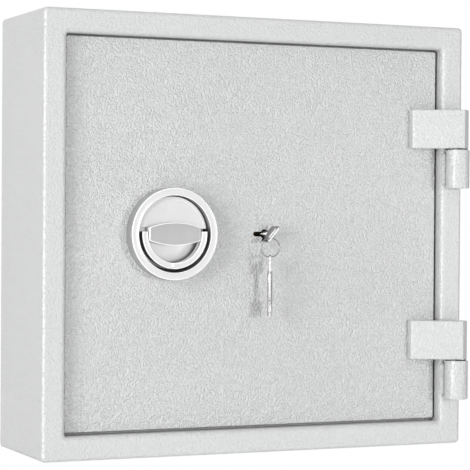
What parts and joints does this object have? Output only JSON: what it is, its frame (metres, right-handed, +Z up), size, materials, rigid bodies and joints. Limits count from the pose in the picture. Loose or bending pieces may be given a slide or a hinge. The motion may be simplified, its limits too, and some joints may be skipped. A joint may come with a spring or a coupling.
{
  "type": "wall safe",
  "caption": "Square key-locking wall safe: recessed hinged steel door, round drop-bail turning handle driving side bolts, double-bit key lock, bored back panel for anchoring.",
  "frame": {"origin": "centre of the four wall-anchor holes, on the outside of the back panel", "axes": "+X to the hinge side, +Y into the wall, +Z up"},
  "size_m": [0.475, 0.165, 0.45],
  "materials": {
    "casing_paint": "light grey satin powder coat with a fine even grain",
    "door_paint": "light grey hammer-texture powder coat",
    "satin_chrome": "satin chrome on die-cast zinc",
    "bolt_chrome": "ground and chromed bar",
    "bright_steel": "turned steel",
    "zinc_steel": "bright zinc plate",
    "dark_steel": "hardened plate with dark oxide",
    "primed_steel": "thin grey coat over welds",
    "brass": "machined brass, slightly dull",
    "nickel_key": "nickel plate with light handling marks",
    "ring_wire": "drawn wire",
    "grey_felt": "needle felt"
  },
  "bodies": {
    "safe_body": {"outer_casing": "casing_paint", "back_panel": "casing_paint", "anchor_reinforcements": "primed_steel", "bolt_keeper": "primed_steel", "shelf": "casing_paint", "shelf_brackets": "casing_paint", "floor_mat": "grey_felt", "frame_knuckle_upper": "casing_paint", "frame_knuckle_lower": "casing_paint", "hinge_pin_upper": "bright_steel", "hinge_pin_lower": "bright_steel", "hinge_washer_upper": "dark_steel", "hinge_washer_lower": "dark_steel"},
    "door": {"door_plate": "door_paint", "door_pan": "casing_paint", "door_inner_cover": "casing_paint", "cover_screws": "zinc_steel", "hinge_strap_upper": "casing_paint", "hinge_strap_lower": "casing_paint", "fixed_dogs": "bright_steel", "bolt_guide_bushes": "brass", "bar_guide_studs": "zinc_steel", "drill_protection_plate": "dark_steel", "key_guide": "dark_steel", "lock_case": "zinc_steel", "lock_cover": "zinc_steel", "lock_screws": "zinc_steel", "lever_post": "bright_steel", "curtain_plate": "brass", "handle_escutcheon": "satin_chrome", "escutcheon_screws": "zinc_steel", "spindle_bush": "brass"},
    "handle": {"handle_rotor": "satin_chrome", "crank_disc": "zinc_steel", "crank_pin": "bright_steel", "crank_screw": "zinc_steel", "bail_pins": "bright_steel"},
    "bail": {"handle_bail": "satin_chrome"},
    "bolt_work": {"bolt_bar": "zinc_steel", "locking_bolts": "bolt_chrome", "bolt_screws": "zinc_steel"},
    "lock_bolt": {"lock_bolt": "brass"},
    "levers": {"lever_pack": "brass", "lever_springs": "bright_steel"},
    "curtain": {"lock_curtain": "brass"},
    "key": {"key": "nickel_key"},
    "ring": {"key_ring": "ring_wire"},
    "spare": {"spare_key": "nickel_key"}
  },
  "joints": [
    {"name": "door_swing", "type": "hinge", "parent": "safe_body", "child": "door", "pos_m": [0.225, -0.1525, 0], "axis": [0, 0, 1], "range_deg": [0, 180]},
    {"name": "handle_turn", "type": "hinge", "parent": "door", "child": "handle", "pos_m": [-0.099, -0.14, 0.0012], "axis": [0, -1, 0], "range_deg": [0, 90]},
    {"name": "bail_lift", "type": "hinge", "parent": "handle", "child": "bail", "pos_m": [-0.099, -0.14, 0.0012], "axis": [-1, 0, 0], "range_deg": [0, 90]},
    {"name": "bolt_throw", "type": "slide", "parent": "door", "child": "bolt_work", "axis": [-1, 0, 0], "range_m": [0, 0.018]},
    {"name": "key_turn", "type": "hinge", "parent": "door", "child": "key", "pos_m": [0.008, -0.14, 0.0012], "axis": [0, -1, 0], "range_deg": [0, 129.5]},
    {"name": "curtain_turn", "type": "hinge", "parent": "door", "child": "curtain", "pos_m": [0.008, -0.09, 0.0012], "axis": [0, -1, 0], "range_deg": [0, 135]},
    {"name": "lever_tilt", "type": "hinge", "parent": "door", "child": "levers", "pos_m": [0.008, -0.1, -0.0408], "axis": [0, -1, 0], "range_deg": [0, 3.3]},
    {"name": "lock_bolt_throw", "type": "slide", "parent": "door", "child": "lock_bolt", "axis": [0, 0, 1], "range_m": [0, 0.0105]},
    {"name": "ring_swing", "type": "hinge", "parent": "key", "child": "ring", "pos_m": [0.00465, -0.148, -0.0027], "axis": [0, 1, 0], "range_deg": [-6, 12]},
    {"name": "spare_key_swing", "type": "hinge", "parent": "ring", "child": "spare", "pos_m": [0.00525, -0.148, -0.0223], "axis": [-0.9143, 0.4051, 0], "range_deg": [-10, 30]}
  ],
  "couplings": [
    {"joint": "bolt_throw", "follows": "handle_turn", "m_per_rad": 0.011459},
    {"joint": "curtain_turn", "follows": "key_turn", "ratio": 1},
    {"joint": "lever_tilt", "follows": "key_turn", "ratio": 0.02317},
    {"joint": "lock_bolt_throw", "follows": "key_turn", "m_per_rad": 0.004424}
  ]
}
